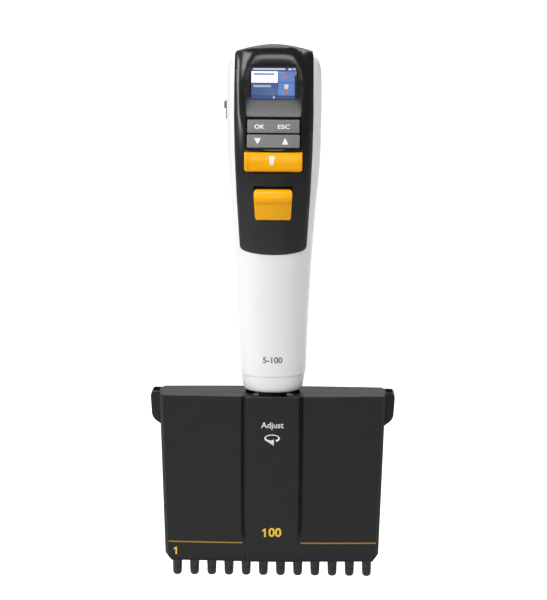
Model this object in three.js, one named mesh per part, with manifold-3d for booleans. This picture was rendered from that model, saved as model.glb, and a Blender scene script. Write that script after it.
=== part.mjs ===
// A twelve-channel electronic pipette: a battery-powered handle on a swivelling manifold of twelve nozzles.
// Millimetres, +Z up along the swivel axis, -Y towards the user's thumb. The origin is on the swivel axis,
// in the plane where the rims of the disposable tips stop.
import * as THREE from "three";
import { mergeVertices } from "three/addons/utils/BufferGeometryUtils.js";
import Module from "manifold-3d";

const wasm = await Module();
wasm.setup();

// ---- Driving dimensions ----
const GAP = 0.3; // between pieces that touch on the real object
const CHANNELS = 12;
const PITCH = 9; // microplate standard
const NOZZLE_END = -9.2;
const MANIFOLD_BOTTOM = 1.8;
const MANIFOLD_TOP = 89.3;
const HANDLE_BOTTOM = 90.8;
const WALL = 2;
const SPLIT_Y = -3; // plane between the front and rear shells of the handle
const PANEL_PROUD = 0.4;
const SCREW_RADIUS = 2.2;
const ROUND = 16; // sides of a round piece
const BORE_SIDES = 10; // sides of a small hole

// The handle's outer form, bottom to top: height, half width, depth in front of the axis, depth behind it.
const HANDLE_STATIONS = [
  [HANDLE_BOTTOM, 14.2, 11.6, 11.6],
  [93.6, 15.9, 13.3, 13.2],
  [100, 16.9, 14.4, 14.1],
  [137, 18.4, 17.2, 15.6],
  [163, 19.9, 19.6, 16.4],
  [189, 21.9, 22.0, 17.2],
  [207, 23.4, 23.5, 17.8],
  [222, 23.95, 24.1, 18],
  [245, 24.0, 23.4, 18],
  [252, 23.9, 21.8, 17.8],
  [257, 23.4, 19.6, 17],
  [260.6, 21.6, 17.2, 15.4],
  [263.6, 18.4, 14, 12.8],
  [265.8, 12, 9, 8.4],
];

// ---- Solids ----
function solid(geometry) {
  const bare = new THREE.BufferGeometry();
  bare.setAttribute("position", geometry.getAttribute("position").clone());
  if (geometry.index) bare.setIndex(geometry.index.clone());
  const merged = mergeVertices(bare, 1e-4);
  const mesh = { numProp: 3, vertProperties: merged.attributes.position.array };
  mesh.triVerts = new Uint32Array(merged.index.array);
  return new wasm.Manifold(new wasm.Mesh(mesh));
}

function geometryOf(manifold) {
  const mesh = manifold.getMesh();
  const geometry = new THREE.BufferGeometry();
  geometry.setAttribute("position", new THREE.BufferAttribute(mesh.vertProperties.slice(), 3));
  geometry.setIndex(new THREE.BufferAttribute(mesh.triVerts.slice(), 1));
  geometry.computeVertexNormals();
  return geometry;
}

const union = (...parts) => parts.reduce((a, b) => a.add(b));
const cut = (base, ...tools) => tools.reduce((a, b) => a.subtract(b), base);

function box(x0, x1, y0, y1, z0, z1) {
  const geometry = new THREE.BoxGeometry(x1 - x0, y1 - y0, z1 - z0);
  return solid(geometry.translate((x0 + x1) / 2, (y0 + y1) / 2, (z0 + z1) / 2));
}

// A solid of revolution about a vertical axis at (x, y). Points are [radius, height]. A profile that keeps
// off the axis closes on itself, so it makes a tube.
function turned(points, x = 0, y = 0, sides = ROUND) {
  const outline = points.map(([r, z]) => new THREE.Vector2(r, z));
  if (points.every(([r]) => r > 0)) outline.push(outline[0].clone());
  const geometry = new THREE.LatheGeometry(outline, sides);
  const made = solid(geometry.rotateX(Math.PI / 2).translate(x, y, 0));
  return made;
}

const rod = (r, z0, z1, x = 0, y = 0, sides = ROUND) =>
  turned([[0, z0], [r, z0], [r, z1], [0, z1]], x, y, sides);
const tube = (r0, r1, z0, z1, x = 0, y = 0, sides = ROUND) =>
  turned([[r0, z0], [r1, z0], [r1, z1], [r0, z1]], x, y, sides);

// A round bar along +Y, such as a screw put in from behind.
function crossRod(r, y0, y1, x, z, sides = ROUND) {
  const geometry = new THREE.CylinderGeometry(r, r, y1 - y0, sides);
  return solid(geometry.translate(x, (y0 + y1) / 2, z));
}

// An outline drawn in the front view, [x, z], given depth from y0 to y1.
function frontOutline(points, y0, y1) {
  const drawn = points instanceof THREE.Shape;
  const shape = drawn ? points : new THREE.Shape(points.map(([x, z]) => new THREE.Vector2(x, z)));
  const options = { depth: y1 - y0, bevelEnabled: false, curveSegments: 10 };
  const geometry = new THREE.ExtrudeGeometry(shape, options);
  return solid(geometry.rotateX(Math.PI / 2).translate(0, y1, 0));
}

// An outline drawn in the side view, [y, z], given width from x0 to x1.
function sideOutline(points, x0, x1) {
  const shape = new THREE.Shape(points.map(([y, z]) => new THREE.Vector2(y, z)));
  const geometry = new THREE.ExtrudeGeometry(shape, { depth: x1 - x0, bevelEnabled: false });
  geometry.applyMatrix4(new THREE.Matrix4().makeBasis(
    new THREE.Vector3(0, 1, 0), new THREE.Vector3(0, 0, 1), new THREE.Vector3(1, 0, 0)));
  return solid(geometry.translate(x0, 0, 0));
}

// Rings of points from bottom to top, all of one length, skinned and closed with a flat cap at each end.
function loft(rings) {
  const count = rings[0].length;
  const positions = rings.flat(2);
  const faces = [];
  rings.slice(1).forEach((_, k) => {
    for (let i = 0; i < count; i++) {
      const a = k * count + i, b = k * count + ((i + 1) % count);
      faces.push(a, b, b + count, a, b + count, a + count);
    }
  });
  const top = (rings.length - 1) * count;
  const outline = rings[0].map(([x, y]) => new THREE.Vector2(x, y));
  THREE.ShapeUtils.triangulateShape(outline, []).forEach(([a, b, c]) => faces.push(c, b, a));
  const roof = rings.at(-1).map(([x, y]) => new THREE.Vector2(x, y));
  THREE.ShapeUtils.triangulateShape(roof, []).forEach(([a, b, c]) => faces.push(top + a, top + b, top + c));
  const geometry = new THREE.BufferGeometry();
  geometry.setAttribute("position", new THREE.Float32BufferAttribute(positions, 3));
  geometry.setIndex(faces);
  return solid(geometry);
}

// ---- Handle form ----
const SECTION_POINTS = 24;
const SQUARENESS = 2.15; // 2 is an ellipse

function section(z, halfWidth, front, back) {
  const bend = (v) => Math.sign(v) * Math.abs(v) ** (2 / SQUARENESS);
  return Array.from({ length: SECTION_POINTS }, (_, i) => {
    const angle = (2 * Math.PI * i) / SECTION_POINTS;
    const side = Math.sin(angle) < 0 ? front : back;
    return [halfWidth * bend(Math.cos(angle)), side * bend(Math.sin(angle)), z];
  });
}

const form = (stations, inset, lift = 0) =>
  loft(stations.map(([z, w, f, b]) => section(z + lift, w - inset, f - inset, b - inset)));

function handleAt(z) {
  const i = Math.max(1, HANDLE_STATIONS.findIndex((s) => s[0] >= z));
  const [low, high] = [HANDLE_STATIONS[i - 1], HANDLE_STATIONS[i]];
  const t = (z - low[0]) / (high[0] - low[0]);
  return low.map((v, k) => v + t * (high[k] - v));
}

const handleOuter = form(HANDLE_STATIONS, 0);
const innerStations = [
  handleAt(HANDLE_BOTTOM + WALL + 0.2),
  ...HANDLE_STATIONS.slice(2, -2),
  [262.6, 19, 14.8, 13.4],
];
const handleInner = form(innerStations, WALL);

// ---- Control panel form ----
const PANEL_BOTTOM = 163.4;
const PANEL_TOP = 267.9;
const PANEL_BACK = 6; // the panel's crown reaches this far behind the axis
const KEY_SLOT = { half: 13.6, z0: 217.6, z1: 232.2 };
const BAR_SLOT = { half: 14.9, z0: 205.2, z1: 216.2 };
const WINDOW = { half: 11.3, z0: 240.9, z1: 256.9 };
const LEVER_SLOT = { half: 7, headHalf: 9.8, z0: 178.6, head: 195.4, z1: 198.4 };

function panelOutline(grow) {
  const shape = new THREE.Shape();
  shape.moveTo(-16.4 - grow, 166.4);
  shape.quadraticCurveTo(-16.2 - grow, 164.9 - grow, -14.6, 164.6 - grow);
  shape.quadraticCurveTo(0, PANEL_BOTTOM - 1.2 - grow, 14.6, 164.6 - grow);
  shape.quadraticCurveTo(16.2 + grow, 164.9 - grow, 16.4 + grow, 166.4);
  shape.lineTo(18.2 + grow, 194);
  shape.lineTo(19.4 + grow, 216);
  shape.lineTo(19.7 + grow, 234);
  shape.lineTo(19.3 + grow, 263.6 + grow);
  shape.quadraticCurveTo(12, PANEL_TOP - 0.3 + grow, 0, PANEL_TOP + grow);
  shape.quadraticCurveTo(-12, PANEL_TOP - 0.3 + grow, -19.3 - grow, 263.6 + grow);
  shape.lineTo(-19.7 - grow, 234);
  shape.lineTo(-19.4 - grow, 216);
  shape.lineTo(-18.2 - grow, 194);
  return shape;
}

// The panel is drawn from the handle's form, a little proud of it, with a fuller crown of its own.
const PANEL_STATIONS = [
  handleAt(158),
  handleAt(170),
  ...HANDLE_STATIONS.slice(5, 9),
  [252, 24, 22.4, 18],
  [258, 23.6, 20.4, 17],
  [263, 22.4, 17.6, 13.6],
  [266.4, 19.6, 14, 7.6],
  [268.2, 14, 9.4, 2],
];

// The scooped face that carries the display and the keys, in the side view.
const SCOOP = [
  [-24.4, 216.4],
  [-23.2, 220],
  [-21.5, 226],
  [-19.8, 234],
  [-18.6, 242],
  [-17.9, 250],
  [-17.6, 256],
  [-17.8, 262],
];

function scoopY(z) {
  const i = Math.max(1, SCOOP.findIndex((p) => p[1] >= z));
  const [[y0, z0], [y1, z1]] = [SCOOP[i - 1], SCOOP[i]];
  return y0 + ((z - z0) / (z1 - z0)) * (y1 - y0);
}

const scoopTool = (back) =>
  sideOutline([[-45, 216.4], ...SCOOP.map(([y, z]) => [y + back, z]), [-45, 262]], -30, 30);

// A piece whose front follows the scooped face between two heights.
function onScoop(half, z0, z1, proud, thick) {
  const heights = [z0, (z0 + z1) / 2, z1];
  const front = heights.map((z) => [scoopY(z) - proud, z]);
  const back = heights.reverse().map((z) => [scoopY(z) - proud + thick, z]);
  return sideOutline([...front, ...back], -half, half);
}

// ---- Handle pieces ----
const PANEL_THICK = 2.2;
const NECK_BORE = 7.8;

const HOUSING_SCREW = { x: 10, z: 158, head: 11.6 };
const HOUSING_SCREWS = [-HOUSING_SCREW.x, HOUSING_SCREW.x];

function shellBlank() {
  const collarHole = rod(9.4, HANDLE_BOTTOM - 1, HANDLE_BOTTOM + 4);
  return cut(handleOuter, handleInner, collarHole, frontOutline(panelOutline(GAP), -45, PANEL_BACK + GAP));
}

function frontShell() {
  const shell = cut(shellBlank(), box(-30, 30, SPLIT_Y - GAP / 2, 30, 80, 280));
  const bosses = HOUSING_SCREWS.map((x) => crossRod(2.9, -14.2, 4, x, HOUSING_SCREW.z));
  const threads = HOUSING_SCREWS.map((x) => crossRod(1.6, -8, 6, x, HOUSING_SCREW.z, BORE_SIDES));
  return cut(union(shell, ...bosses), ...threads);
}

const SOCKET = { y: 3.5, z: 234.3 };
const COVER = { y0: 0.2, y1: 6.8, z0: 229.4, z1: 239.2, x0: -24.6, x1: -23.5 };

function rearShell() {
  const recess = { y0: COVER.y0 - GAP, y1: COVER.y1 + GAP, z0: COVER.z0 - GAP, z1: COVER.z1 + GAP };
  const coverRecess = box(-30, COVER.x1 + GAP, recess.y0, recess.y1, recess.z0, recess.z1);
  const socketHole = box(-30, -18, SOCKET.y - 1.9, SOCKET.y + 1.9, SOCKET.z - 4.6, SOCKET.z + 4.6);
  const restSeat = box(-8.4, 8.4, 17, 20, 203, 246);
  const blank = cut(shellBlank(), box(-30, 30, -30, SPLIT_Y + GAP / 2, 80, 280));
  const bosses = HOUSING_SCREWS.map((x) => crossRod(3.4, 4 + GAP, 13.2, x, HOUSING_SCREW.z));
  const holes = HOUSING_SCREWS.map((x) => crossRod(1.6, 2, 15, x, HOUSING_SCREW.z, BORE_SIDES));
  const heads = HOUSING_SCREWS.map((x) => crossRod(2.5, HOUSING_SCREW.head - GAP, 20, x, HOUSING_SCREW.z));
  return cut(union(blank, ...bosses), coverRecess, socketHole, restSeat, ...holes, ...heads);
}

function facePanel() {
  const proud = -PANEL_PROUD;
  const outer = cut(form(PANEL_STATIONS, proud), scoopTool(0));
  const inner = cut(form(PANEL_STATIONS, proud + PANEL_THICK, -PANEL_THICK * 0.9), scoopTool(PANEL_THICK));
  const shell = cut(outer, inner).intersect(frontOutline(panelOutline(0), -45, PANEL_BACK));
  const opening = (half, z0, z1) => box(-half, half, -35, -8, z0, z1);
  const window = opening(WINDOW.half, WINDOW.z0, WINDOW.z1);
  const keys = opening(KEY_SLOT.half, KEY_SLOT.z0, KEY_SLOT.z1);
  const bar = opening(BAR_SLOT.half, BAR_SLOT.z0, BAR_SLOT.z1);
  const slot = opening(LEVER_SLOT.half, LEVER_SLOT.z0, LEVER_SLOT.z1);
  const slotHead = opening(LEVER_SLOT.headHalf, LEVER_SLOT.head, LEVER_SLOT.z1);
  return cut(shell, window, keys, bar, slot, slotHead, crossPin(PIN_RADIUS + GAP, PIN_HALF + GAP));
}

const displayWindow = () => onScoop(WINDOW.half - GAP, WINDOW.z0 + GAP, WINDOW.z1 - GAP, -0.3, 1.1);
const displayModule = () => box(-12.6, 12.6, -15, -12, 239, 256);

const KEY_THICK = 3;
const KEY_CONTACTS = [[-9, 228.4], [9, 228.4], [-9, 221.2], [9, 221.2]];

function circuitBoard() {
  const board = box(-15, 15, -8.4, -6.8, 168, 256);
  const displayPlug = box(-10, 10, -10.4, -8.4, 233.6, 236.4);
  const controller = box(-5, 5, -6.8, -5.6, 240, 250);
  const switches = [...KEY_CONTACTS, [0, 209.4]]
    .map(([x, z]) => box(x - 2.5, x + 2.5, -11.4, -8.4, z - 2, z + 2));
  return union(board, displayPlug, controller, ...switches);
}

// The rubber mat under the keys, with a plunger for each end of each rocker.
function keypadMat() {
  const mat = box(-13.2, 13.2, -13.2, -11.8, 218, 231.8);
  const plungerTip = (z) => scoopY(z) + KEY_THICK + 0.6;
  const plungers = KEY_CONTACTS.map(([x, z]) => crossRod(2, plungerTip(z), -12.5, x, z, BORE_SIDES));
  return union(mat, ...plungers);
}

const okEscKey = () => onScoop(12.95, 225.2, 231.7, 0.4, KEY_THICK);
const arrowKey = () => onScoop(13.1, 218.1, 224.5, 0.4, KEY_THICK);

function startBar() {
  const face = [[-23.6, 215.7], [-25.2, 214], [-25.9, 210.6], [-25.6, 207.4], [-24.2, 205.7]];
  const back = [[-21.4, 205.7], [-21.4, 210.9], [-15.2, 210.9], [-15.2, 215.7]];
  const bar = sideOutline([...face, ...back], -14.4, 14.4);
  const plunger = box(-2, 2, -21.8, -12.3, 207.4, 210.4);
  return cut(union(bar, plunger), crossPin(PIN_RADIUS + GAP, PIN_HALF));
}

// The start bar's pivot pin, along X behind the bar's top edge.
const PIVOT = { y: -17.6, z: 213.3 };
const PIN_HALF = 16;
const PIN_RADIUS = 1;
function crossPin(r, half) {
  const geometry = new THREE.CylinderGeometry(r, r, half * 2, BORE_SIDES);
  return solid(geometry.rotateZ(Math.PI / 2).translate(0, PIVOT.y, PIVOT.z));
}

function ejectorButton() {
  const lip = [[-23.4, 197], [-26.4, 196.4], [-28.2, 194.4], [-28.4, 191.4], [-26.4, 189.4]];
  const skirt = [[-24.2, 185.6], [-23.2, 181.4], [-22.5, 181.4], [-23.1, 194.6]];
  const thumbPiece = sideOutline([...lip, ...skirt], -9.5, 9.5);
  const stem = sideOutline([[-23.6, 195], [-23.2, 185.2], [-12.8, 185.2], [-12.8, 195]], -5.6, 5.6);
  const taper = [[-10.5, 198], [-9.6, 195], [-8.7, 181], [8.7, 181], [9.6, 195], [10.5, 198]];
  return union(thumbPiece.intersect(frontOutline(taper, -30, -20)), stem);
}

function ejectorRod() {
  const sleeve = tube(3.3, 4.9, 84.8, 121);
  const arm = cut(box(-3, 3, -12.5, 0, 118, 121), rod(3.3, 110, 125));
  const strip = box(-3, 3, -12.5, -10.9, 118, 192);
  return union(sleeve, arm, strip);
}

const TURN_STEPS = 10;
function spring(radius, wire, z0, z1, turns) {
  const steps = turns * TURN_STEPS;
  const points = Array.from({ length: steps + 1 }, (_, i) => {
    const angle = (i / TURN_STEPS) * 2 * Math.PI;
    const z = z0 + wire + ((z1 - z0 - 2 * wire) * i) / steps;
    return new THREE.Vector3(radius * Math.cos(angle), radius * Math.sin(angle), z);
  });
  const wireShape = new THREE.Shape();
  wireShape.absarc(0, 0, wire, 0, 2 * Math.PI, false);
  const path = new THREE.CatmullRomCurve3(points);
  const options = { steps, extrudePath: path, curveSegments: 3, bevelEnabled: false };
  return solid(new THREE.ExtrudeGeometry(wireShape, options));
}

function motorBody() {
  const can = tube(7, 10, 126.5, 145.5);
  const ends = [tube(3.2, 10, 125, 127), tube(3.2, 10, 145, 147)];
  return union(can, ...ends, box(-5, 5, 9.6, 12.4, 130, 138));
}

const motorRotor = () => tube(SCREW_RADIUS + 0.5, 6.6, 128, 144);

// Two plates that fit the inside of the handle, joined by legs: the motor stands on the upper one and the
// ejector's spring on the lower one.
function motorBracket() {
  const levels = [[104, 105.6], [122, 124.6]];
  const plates = levels.map(([z0, z1]) => form([handleAt(z0), handleAt(z1)], WALL + 0.4));
  const legs = [box(-12.6, -10.6, -6, 6, 105, 123), box(10.6, 12.6, -6, 6, 105, 123)];
  const stripSlot = box(-3.4, 3.4, -20, -10.4, 121, 126);
  return cut(union(...plates, ...legs), rod(5.3, 100, 128), stripSlot);
}

const driveScrew = () => union(rod(SCREW_RADIUS, 60.8, 152), rod(SCREW_RADIUS + 0.6, 60.8, 62.2));

const swivelCollar = () => union(tube(NECK_BORE, 9.1, 89.7, 100.6), tube(NECK_BORE, 10.4, 93.4, 95.6));

// The hook for the index finger: a plate let into the back of the handle, an arm and a turned-down tip.
const REST_UNDERSIDE = 232;
function fingerRest() {
  const outline = new THREE.Shape();
  outline.moveTo(17.4, 204);
  outline.lineTo(19.4, 205);
  outline.lineTo(20.2, 226);
  outline.quadraticCurveTo(20.6, REST_UNDERSIDE, 25, REST_UNDERSIDE);
  outline.lineTo(36, REST_UNDERSIDE);
  outline.quadraticCurveTo(38.6, REST_UNDERSIDE, 39.4, 225);
  outline.quadraticCurveTo(41.6, 224.4, 42.4, 226);
  outline.quadraticCurveTo(43.6, 237.4, 36, 237.6);
  outline.lineTo(27, 238.6);
  outline.quadraticCurveTo(20.4, 239.4, 19.8, 245);
  outline.lineTo(17.4, 245.4);
  const points = outline.getPoints(5).map((p) => [p.x, p.y]);
  const taper = [[-9.4, 220], [-11, 250], [11, 250], [9.4, 220], [8, 200], [-8, 200]];
  return sideOutline(points, -11, 11).intersect(restWidth(taper));
}

function restWidth(taper) {
  const plate = frontOutline([[-8, 200], [8, 200], [8, 250], [-8, 250]], 10, 21.5);
  return union(plate, frontOutline(taper, 21, 50));
}

const chargeSocket = () => cut(
  box(-23, -15.4, SOCKET.y - 1.6, SOCKET.y + 1.6, SOCKET.z - 4.3, SOCKET.z + 4.3),
  box(-24, -17, SOCKET.y - 1.2, SOCKET.y + 1.2, SOCKET.z - 3.9, SOCKET.z + 3.9));

function portCover() {
  const flap = box(COVER.x0, COVER.x1, COVER.y0, COVER.y1, COVER.z0, COVER.z1);
  const inset = 1.2;
  const tabFoot = COVER.z1 - 4.4;
  const tabTop = COVER.z1 - 0.6;
  const tab = box(COVER.x0 - 0.9, COVER.x0 + 0.2, COVER.y0 + inset, COVER.y1 - inset, tabFoot, tabTop);
  return union(flap, tab);
}

// A screw put in from behind, its round head at y.
const rearScrew = (x, y, z, length) => union(
  crossRod(1.3, y - length, y + 0.5, x, z, BORE_SIDES), crossRod(2.2, y, y + 1.3, x, z, 12));

// ---- Manifold pieces ----
const MANIFOLD = {
  top: { half: 58, rearEnd: 11.8, rear: 14, frontEnd: 10.8, front: 13.6, centreHalf: 14.4, centre: 15.1 },
  bottom: { half: 55.3, rearEnd: 8, rear: 9.4, frontEnd: 8, front: 9.8, centreHalf: 13.2, centre: 10.3 },
};

// One plan section of the manifold: a gently bowed back, a front that swells to a raised centre column.
function plan({ half, rearEnd, rear, frontEnd, front, centreHalf, centre }, z, inset) {
  const right = [
    [centreHalf - inset * 0.6, -centre + inset],
    [centreHalf + 1.1 - inset * 0.6, -front + inset],
    [half - inset, -frontEnd + inset],
    [half - inset, rearEnd - inset],
    [half / 2, (rearEnd + 3 * rear) / 4 - inset],
  ];
  const left = right.map(([x, y]) => [-x, y]).reverse();
  return [...right, [0, rear - inset], ...left].map(([x, y]) => [x, y, z]);
}

function manifoldShell() {
  const { top, bottom } = MANIFOLD;
  const outer = loft([plan(bottom, MANIFOLD_BOTTOM, 0), plan(top, MANIFOLD_TOP, 0)]);
  const inner = loft([plan(bottom, MANIFOLD_BOTTOM - 1, WALL), plan(top, MANIFOLD_TOP - WALL, WALL)]);
  const neckHole = rod(NECK_BORE, MANIFOLD_TOP - 4, MANIFOLD_TOP + 2);
  const corner = [[51.5, 0], [60, 0], [60, 7], [55, 4.4]];
  const clips = [corner, corner.map(([x, z]) => [-x, z]).reverse()].map((c) => frontOutline(c, -20, 20));
  return cut(outer, inner, neckHole, ...clips);
}

// A wing at each shoulder, open on top, where the fingers press the manifold down onto the tips.
const WING = { z0: 72.4, z1: 89.3, x: 63, y0: -3.4, y1: 8.6 };
function wing(side) {
  const shape = new THREE.Shape();
  shape.moveTo(56.6, 70.4);
  shape.quadraticCurveTo(57.6, WING.z0, 59.4, WING.z0 + 1);
  shape.quadraticCurveTo(62.2, 75.4, 62.4, 78);
  shape.lineTo(WING.x, 86.6);
  shape.quadraticCurveTo(WING.x, WING.z1 - 0.2, 61, WING.z1);
  shape.lineTo(56.6, WING.z1);
  const points = shape.getPoints(4).map((p) => [side * p.x, p.y]);
  const block = frontOutline(side > 0 ? points : points.reverse(), WING.y0, WING.y1);
  const pocketSides = [side * 58.4, side * 61.6].sort((a, b) => a - b);
  return cut(block, box(...pocketSides, WING.y0 + 1.6, WING.y1 - 1.6, 81, 95));
}

const COVER_SPLIT_Y = -3.7;
const MANIFOLD_SCREWS = [-40.5, 40.5];
const MANIFOLD_SCREW_Z = 26;

function manifoldFrontCover() {
  return cut(manifoldShell(), box(-70, 70, COVER_SPLIT_Y - GAP / 2, 30, -5, 100));
}

function manifoldRearCover() {
  const rear = cut(manifoldShell(), box(-70, 70, -30, COVER_SPLIT_Y + GAP / 2, -5, 100));
  const cavity = loft([
    plan(MANIFOLD.bottom, MANIFOLD_BOTTOM - 1, WALL),
    plan(MANIFOLD.top, MANIFOLD_TOP - WALL, WALL),
  ]);
  const wings = [wing(-1), wing(1)].map((w) => cut(w, cavity));
  const holes = MANIFOLD_SCREWS.map((x) => crossRod(1.6, 5, 20, x, MANIFOLD_SCREW_Z, BORE_SIDES));
  return cut(union(rear, ...wings), ...holes);
}

const channelX = (i) => (i - (CHANNELS - 1) / 2) * PITCH;
const channels = Array.from({ length: CHANNELS }, (_, i) => channelX(i));
const POSTS = [-3 * PITCH, 3 * PITCH]; // the ejector's posts pass between channels
const BLOCK = { half: 52.6, z0: 6.2, z1: 40 };

function cylinderBlock() {
  const block = box(-BLOCK.half, BLOCK.half, -4.8, 5, BLOCK.z0, BLOCK.z1);
  const bores = channels.map((x) => rod(1.85, BLOCK.z0 - 1, BLOCK.z1 + 1, x, 0, BORE_SIDES));
  const seats = channels.map((x) => rod(2.9, BLOCK.z0 - 1, 12.6, x, 0, BORE_SIDES));
  const guides = POSTS.map((x) => rod(1.6, BLOCK.z0 - 1, BLOCK.z1 + 1, x, 0, BORE_SIDES));
  const threads = MANIFOLD_SCREWS.map((x) => crossRod(1.6, 2, 20, x, MANIFOLD_SCREW_Z, BORE_SIDES));
  const bosses = MANIFOLD_SCREWS.map((x) => box(x - 3.4, x + 3.4, 4.6, 6.9, 22, 30));
  return cut(union(block, ...bosses), ...bores, ...seats, ...guides, ...threads);
}

function sealStrip() {
  const strip = box(-BLOCK.half, BLOCK.half, -4, 4.2, BLOCK.z1 + GAP, 42.8);
  const holes = channels.map((x) => rod(1.8, 38, 45, x, 0, BORE_SIDES));
  const guides = POSTS.map((x) => rod(1.6, 38, 45, x, 0, BORE_SIDES));
  return cut(strip, ...holes, ...guides);
}

// A tip cone: a stem in the block, a flange, the cone that grips the tip and a rounded nose with a fine bore.
function nozzle(x) {
  return turned([
    [0.6, NOZZLE_END], [1.5, NOZZLE_END], [2.3, NOZZLE_END + 1], [2.5, -4.9],
    [2.65, 2.8], [3, 3.2], [3, 5.8], [2.5, 5.8], [2.5, 12.2], [0.6, 12.2],
  ], x, 0, BORE_SIDES);
}

const CROSSHEAD = { z0: 53.6, z1: 58.2 };
function crosshead() {
  const bar = box(-BLOCK.half, BLOCK.half, -5, 5.2, CROSSHEAD.z0, CROSSHEAD.z1);
  const pad = box(-1.8, 1.8, -4, 4, CROSSHEAD.z1 - 1, 60.4);
  const holes = channels.map((x) => rod(1.8, 50, 62, x, 0, BORE_SIDES));
  const guides = POSTS.map((x) => rod(1.6, 50, 62, x, 0, BORE_SIDES));
  return union(cut(bar, ...holes, ...guides), pad);
}

function piston(x) {
  return turned([
    [0, 14.2], [1.5, 14.2], [1.5, 58.5], [2.3, 58.5], [2.3, 59.9], [0, 59.9],
  ], x, 0, BORE_SIDES);
}

function swivelNeck() {
  return union(tube(5.4, 7.4, 85, 103.2), tube(5.4, 8.8, 101, 103.2), tube(5.4, 11, 85, 86.9));
}

const PLATE_TOP = 2.4;
function ejectorPlate() {
  const edge = { ...MANIFOLD.bottom };
  const outline = (z) => plan(edge, z, WALL + 0.5);
  const plate = loft([outline(0), outline(PLATE_TOP)]);
  return cut(plate, ...channels.map((x) => rod(3.1, -1, 4, x, 0, 12)));
}

function ejectorYoke() {
  const beam = box(-30, 30, -3, 3, 80.2, 84.4);
  const posts = POSTS.map((x) => rod(1.2, PLATE_TOP + GAP, 82, x, 0, BORE_SIDES));
  const hub = rod(6, 80.2, 84.4);
  return cut(union(beam, hub, ...posts), rod(3.3, 78, 86));
}


// ---- Finishes ----
const finish = (color, roughness, metalness = 0) =>
  new THREE.MeshStandardMaterial({ color, roughness, metalness });
const white = finish(0xf1f1ef, 0.3);
const black = finish(0x29292a, 0.42);
const panelBlack = finish(0x2b2b2d, 0.3);
const orange = finish(0xffab12, 0.35);
const keyGrey = finish(0x4d4d50, 0.45);
const glass = finish(0x10131a, 0.06);
const screen = finish(0x4a6ba8, 0.2);
const boardGreen = finish(0x1d5b38, 0.5);
const rubber = finish(0x8c8f92, 0.7);
const silicone = finish(0x9c9ea0, 0.6);
const steel = finish(0xb9bcc0, 0.28, 1);
const aluminium = finish(0xc6c8ca, 0.35, 1);
const darkPlastic = finish(0x303133, 0.5);
const cellWrap = finish(0x2f5f9e, 0.4);

// ---- Assembly ----
const pipette = new THREE.Group();

function add(name, made, material) {
  const mesh = new THREE.Mesh(geometryOf(made), material);
  mesh.name = name;
  pipette.add(mesh);
}

add("front_shell", frontShell(), white);
add("rear_shell", rearShell(), white);
add("face_panel", facePanel(), panelBlack);
add("display_window", displayWindow(), glass);
add("display_module", displayModule(), screen);
add("circuit_board", circuitBoard(), boardGreen);
add("keypad_mat", keypadMat(), silicone);
add("ok_esc_key", okEscKey(), keyGrey);
add("arrow_key", arrowKey(), keyGrey);
add("start_bar", startBar(), orange);
add("start_bar_pin", crossPin(PIN_RADIUS, PIN_HALF), steel);
add("ejector_button", ejectorButton(), orange);
add("ejector_rod", ejectorRod(), darkPlastic);
add("ejector_spring", spring(6.4, 0.5, 106, 117.6, 6), steel);
add("battery_cell", box(-14, 14, -3.6, 6, 171, 221), cellWrap);
add("motor_body", motorBody(), aluminium);
add("motor_rotor", motorRotor(), darkPlastic);
add("motor_bracket", motorBracket(), darkPlastic);
add("drive_screw", driveScrew(), steel);
add("swivel_collar", swivelCollar(), black);
add("finger_rest", fingerRest(), white);
add("charge_socket", chargeSocket(), steel);
add("port_cover", portCover(), rubber);
HOUSING_SCREWS.forEach((x, i) => {
  const name = ["housing_screw_left", "housing_screw_right"][i];
  add(name, rearScrew(x, HOUSING_SCREW.head, HOUSING_SCREW.z, 17), steel);
});
add("manifold_front_cover", manifoldFrontCover(), black);
add("manifold_rear_cover", manifoldRearCover(), black);
add("swivel_neck", swivelNeck(), darkPlastic);
add("cylinder_block", cylinderBlock(), aluminium);
add("seal_strip", sealStrip(), silicone);
add("crosshead", crosshead(), aluminium);
add("ejector_plate", ejectorPlate(), black);
add("ejector_yoke", ejectorYoke(), darkPlastic);
MANIFOLD_SCREWS.forEach((x, i) => {
  add(["manifold_screw_left", "manifold_screw_right"][i], rearScrew(x, 10.1, MANIFOLD_SCREW_Z, 7.3), steel);
});
channels.forEach((x, i) => {
  const number = String(i + 1).padStart(2, "0");
  add("nozzle_" + number, nozzle(x), black);
  add("piston_" + number, piston(x), steel);
});

export default pipette;
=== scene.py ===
# A twelve-channel electronic pipette, put together from the handle down: white shells, black control face,
# display and keys, thumb levers, the hook on the back, then the swivelling manifold with its nozzles.
import math

import bmesh
import bpy
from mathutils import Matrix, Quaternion, Vector


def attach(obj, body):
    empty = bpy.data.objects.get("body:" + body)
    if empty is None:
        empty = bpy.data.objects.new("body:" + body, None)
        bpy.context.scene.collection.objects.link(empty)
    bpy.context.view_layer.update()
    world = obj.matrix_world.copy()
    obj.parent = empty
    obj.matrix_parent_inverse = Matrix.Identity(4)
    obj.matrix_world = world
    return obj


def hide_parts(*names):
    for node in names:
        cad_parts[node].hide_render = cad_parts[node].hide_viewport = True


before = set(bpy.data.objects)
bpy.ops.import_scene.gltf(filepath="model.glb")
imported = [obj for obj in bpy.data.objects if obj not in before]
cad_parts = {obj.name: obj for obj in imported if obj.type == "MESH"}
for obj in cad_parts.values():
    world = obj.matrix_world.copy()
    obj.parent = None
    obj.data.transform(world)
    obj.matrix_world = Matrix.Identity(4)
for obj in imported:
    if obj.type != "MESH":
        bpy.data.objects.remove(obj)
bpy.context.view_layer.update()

# The studio: a pale floor with a painted white glow well behind the object, a camera with a long lens and big
# soft lamps. The pipette hangs over the floor as it hangs on its stand.
MM = 0.001


def mm(x, y, z):
    return (x * MM, y * MM, z * MM)


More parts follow.
